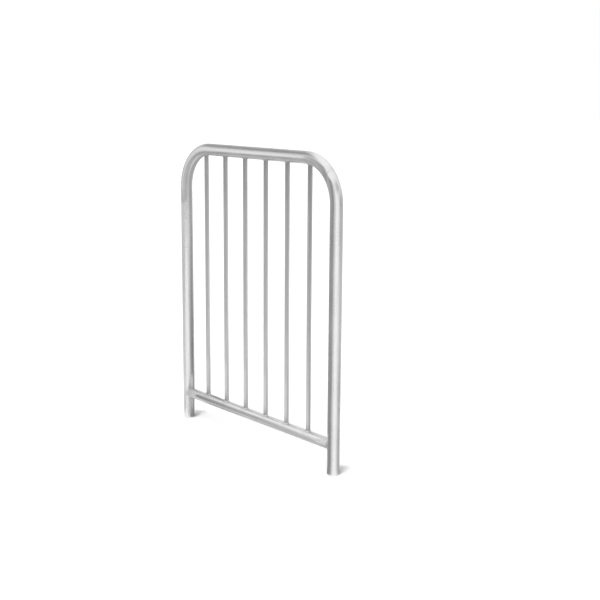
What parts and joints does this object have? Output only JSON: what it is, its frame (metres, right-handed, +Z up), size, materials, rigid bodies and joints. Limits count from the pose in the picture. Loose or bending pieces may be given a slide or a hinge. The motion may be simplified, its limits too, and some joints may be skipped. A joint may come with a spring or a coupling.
{
  "type": "guard rail",
  "caption": "Welded tube guard rail: an inverted-U hoop with rounded corners, a lower rail near the ground and evenly spaced vertical bars between them.",
  "frame": {"origin": "on the ground, midway between the two feet", "axes": "+Z up, +X along the rail from the left post to the right post, Y through the rail"},
  "size_m": [0.8, 0.0398, 1],
  "materials": {
    "tube": "satin drawn tube, unpainted",
    "weld": "rippled weld bead, as laid"
  },
  "bodies": {
    "root": {"hoop": "tube", "lower_rail": "tube", "bar_1": "tube", "bar_2": "tube", "bar_3": "tube", "bar_4": "tube", "bar_5": "tube", "bar_6": "tube", "head_weld_1": "weld", "head_weld_2": "weld", "head_weld_3": "weld", "head_weld_4": "weld", "head_weld_5": "weld", "head_weld_6": "weld", "foot_weld_1": "weld", "foot_weld_2": "weld", "foot_weld_3": "weld", "foot_weld_4": "weld", "foot_weld_5": "weld", "foot_weld_6": "weld", "rail_weld_left": "weld", "rail_weld_right": "weld"}
  },
  "joints": []
}
